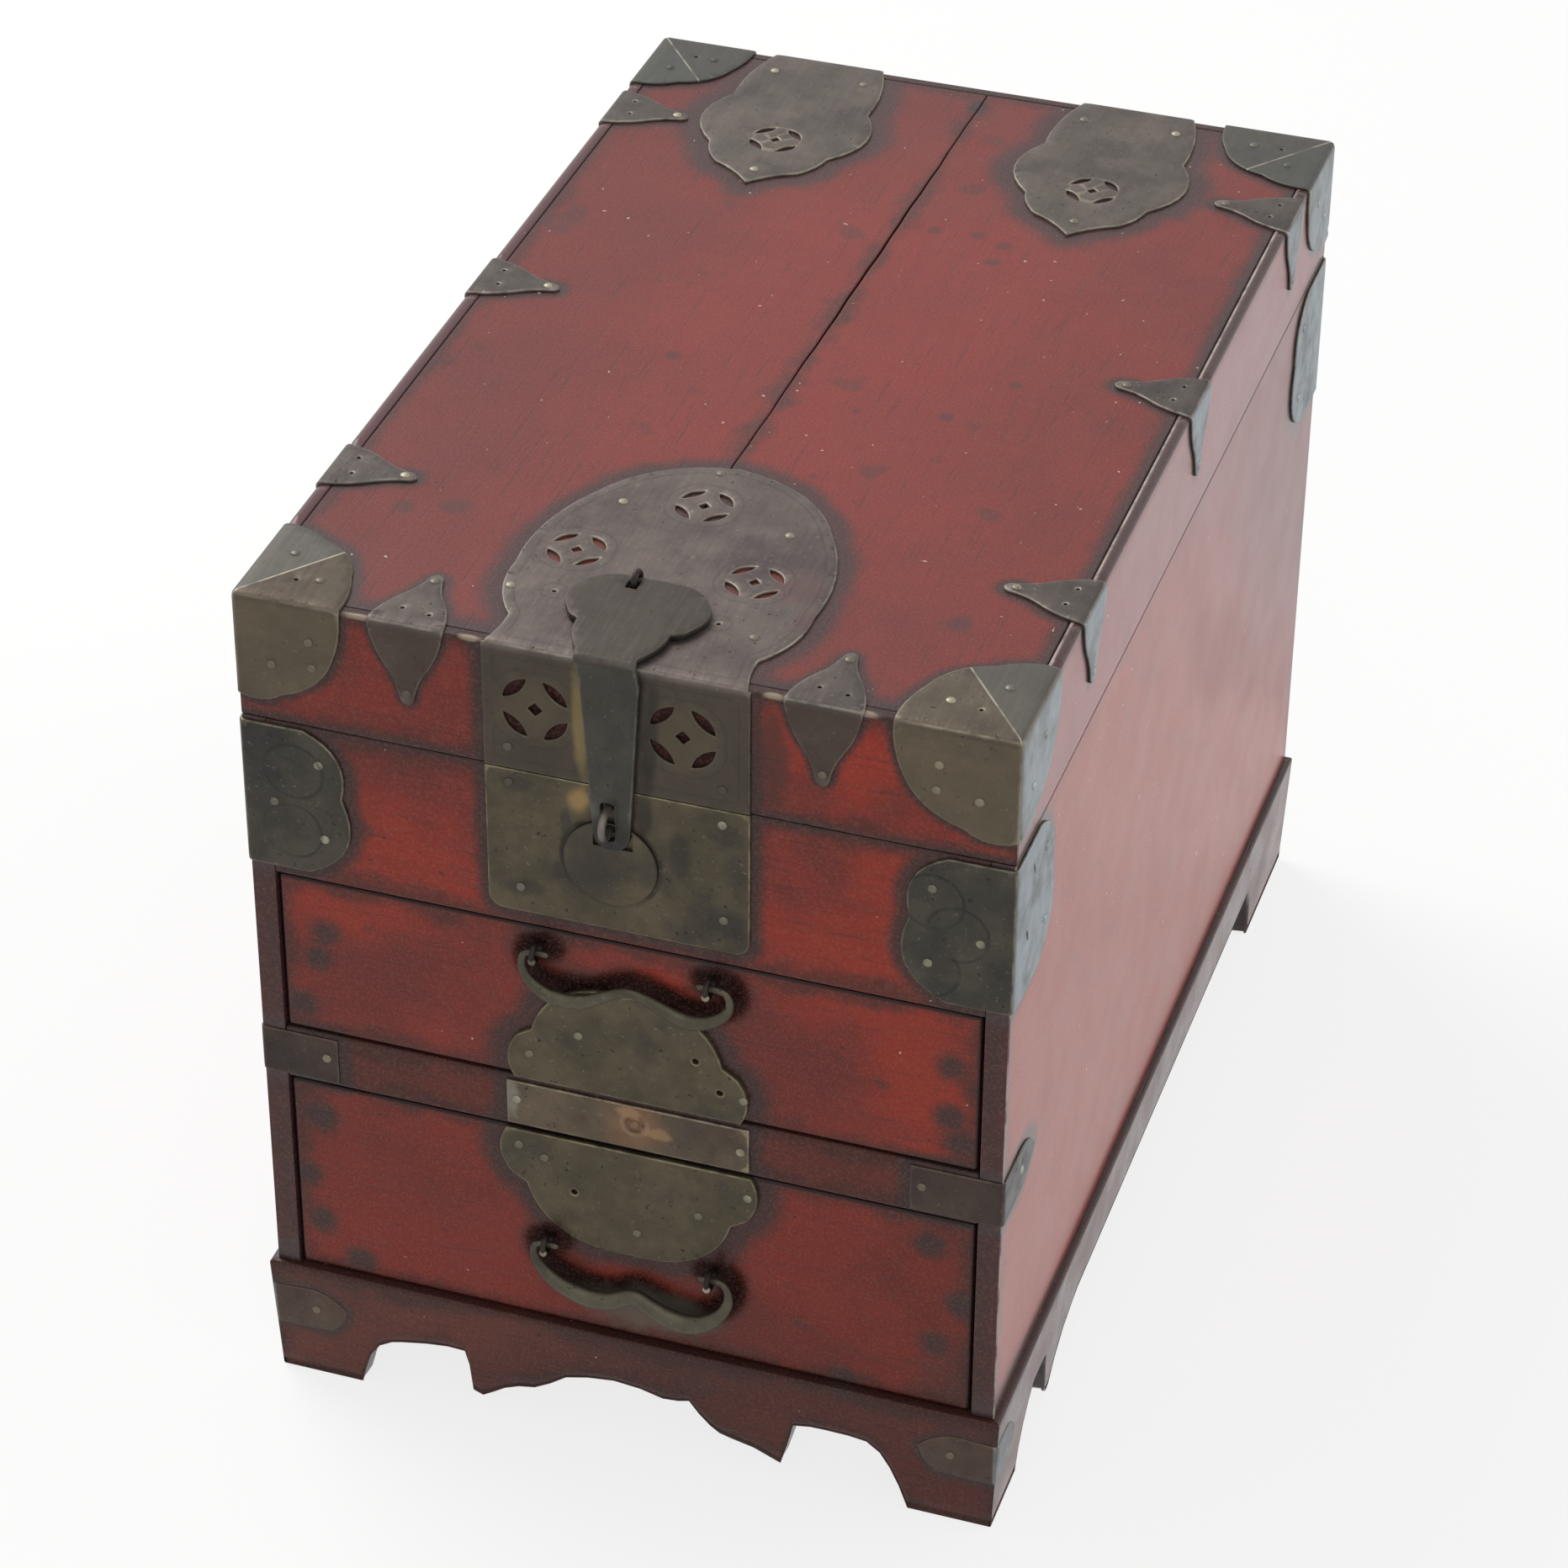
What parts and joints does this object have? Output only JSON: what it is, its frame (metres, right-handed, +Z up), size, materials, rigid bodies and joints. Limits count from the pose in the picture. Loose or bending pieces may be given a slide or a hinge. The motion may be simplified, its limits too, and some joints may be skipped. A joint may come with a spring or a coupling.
{
  "type": "writing box",
  "caption": "Lacquered wooden writing box with a hinged lid, a hasp and staple, drawers with swinging bail handles, pierced brass plates and corner straps, on a shaped base.",
  "frame": {"origin": "on the standing surface, under the middle of the whole box", "axes": "+X to the right seen from the front, -Y towards the drawer fronts, +Z up"},
  "size_m": [0.1936, 0.3126, 0.2425],
  "materials": {
    "lacquer": "red-brown gloss lacquer",
    "dark_lacquer": "dark worn lacquer",
    "bare_wood": "bare",
    "brass": "dull patina",
    "dark_brass": "dark patina"
  },
  "bodies": {
    "carcass": {"side_left": "lacquer", "side_right": "lacquer", "back_panel": "lacquer", "front_panel": "lacquer", "compartment_floor": "bare_wood", "drawer_rail": "lacquer", "divider_board": "bare_wood", "bottom_board": "bare_wood", "base_front": "dark_lacquer", "base_back": "dark_lacquer", "base_left": "dark_lacquer", "base_right": "dark_lacquer", "case_lock_plate": "brass", "case_staple": "dark_brass", "rail_plate": "brass", "case_corner_front_left": "brass", "case_corner_front_right": "brass", "case_corner_rear_left": "brass", "case_corner_rear_right": "brass", "case_hinge_leaf_left": "brass", "case_hinge_leaf_right": "brass", "hinge_pin_left": "dark_brass", "hinge_pin_right": "dark_brass"},
    "lid": {"lid_side_left": "lacquer", "lid_side_right": "lacquer", "lid_front_board": "lacquer", "lid_back_board": "lacquer", "lid_panel_left": "lacquer", "lid_panel_right": "lacquer", "lid_front_plate": "brass", "lid_staple": "dark_brass", "lid_hinge_leaf_left": "brass", "lid_hinge_leaf_right": "brass", "lid_corner_front_left": "brass", "lid_corner_front_right": "brass", "lid_corner_rear_left": "brass", "lid_corner_rear_right": "brass", "lid_clip_front_1": "brass", "lid_clip_front_2": "brass", "lid_clip_left_1": "brass", "lid_clip_left_2": "brass", "lid_clip_left_3": "brass", "lid_clip_right_1": "brass", "lid_clip_right_2": "brass", "lid_clip_right_3": "brass"},
    "hasp": {"hasp": "dark_brass"},
    "drawer_upper": {"upper_drawer_front": "lacquer", "upper_drawer_walls": "bare_wood", "upper_drawer_bottom": "bare_wood", "upper_drawer_plate": "brass", "upper_post_left": "dark_brass", "upper_post_right": "dark_brass"},
    "drawer_lower": {"lower_drawer_front": "lacquer", "lower_drawer_walls": "bare_wood", "lower_drawer_bottom": "bare_wood", "lower_drawer_plate": "brass", "lower_post_left": "dark_brass", "lower_post_right": "dark_brass"},
    "bail_upper": {"upper_bail": "dark_brass"},
    "bail_lower": {"lower_bail": "dark_brass"}
  },
  "joints": [
    {"name": "lid_hinge", "type": "hinge", "parent": "carcass", "child": "lid", "pos_m": [0, 0.15416, 0.2037], "axis": [-1, 0, 0], "range_deg": [0, 105]},
    {"name": "hasp_swing", "type": "hinge", "parent": "lid", "child": "hasp", "pos_m": [0, -0.11624, 0.2395], "axis": [-1, 0, 0], "range_deg": [0, 120]},
    {"name": "upper_drawer_slide", "type": "slide", "parent": "carcass", "child": "drawer_upper", "axis": [0, -1, 0], "range_m": [0, 0.2]},
    {"name": "lower_drawer_slide", "type": "slide", "parent": "carcass", "child": "drawer_lower", "axis": [0, -1, 0], "range_m": [0, 0.2]},
    {"name": "upper_bail_swing", "type": "hinge", "parent": "drawer_upper", "child": "bail_upper", "pos_m": [0, -0.15184, 0.1535], "axis": [-1, 0, 0], "range_deg": [0, 90]},
    {"name": "lower_bail_swing", "type": "hinge", "parent": "drawer_lower", "child": "bail_lower", "pos_m": [0, -0.15184, 0.0635], "axis": [-1, 0, 0], "range_deg": [0, 90]}
  ]
}
